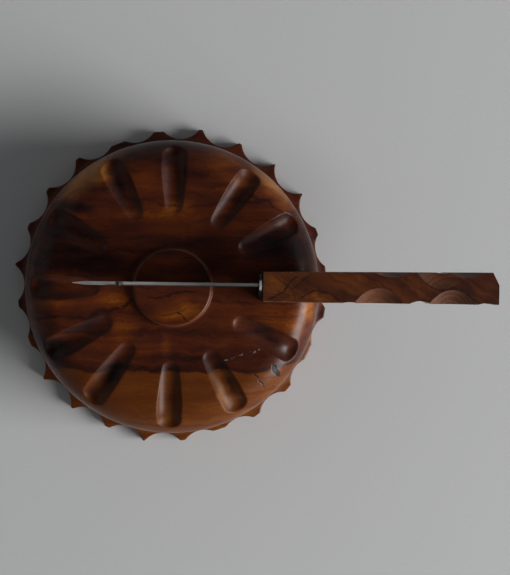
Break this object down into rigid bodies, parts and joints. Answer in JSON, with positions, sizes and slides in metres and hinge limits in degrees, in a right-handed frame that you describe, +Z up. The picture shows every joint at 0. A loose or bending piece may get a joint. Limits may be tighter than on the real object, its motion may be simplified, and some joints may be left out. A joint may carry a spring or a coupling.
{
  "type": "carved bowl and knife set",
  "caption": "Upturned round wooden bowl with a fluted base and a scalloped rim, and a matching carved-handled knife lying across its foot, back up.",
  "frame": {"origin": "on the bowl's axis, in the plane that its rim stands on", "axes": "+Z up, along the bowl's axis towards its foot; +X along the knife, from the point towards the butt of the handle; +Y to the left of the knife"},
  "size_m": [0.3039, 0.2072, 0.0896],
  "materials": {
    "bowl_wood": "oiled satin",
    "handle_wood": "oiled satin",
    "blade_steel": "fine satin",
    "bolster_steel": "satin",
    "black_fibre": "matte",
    "resin": "matte"
  },
  "bodies": {
    "bowl": {"bowl": "bowl_wood"},
    "knife": {"blade": "blade_steel", "bolster": "bolster_steel", "spacer": "black_fibre", "handle": "handle_wood", "tang_bedding": "resin"}
  },
  "joints": [
    {"name": "knife_lift", "type": "slide", "parent": "bowl", "child": "knife", "axis": [0, 0, 1], "range_m": [0, 0.12]}
  ]
}
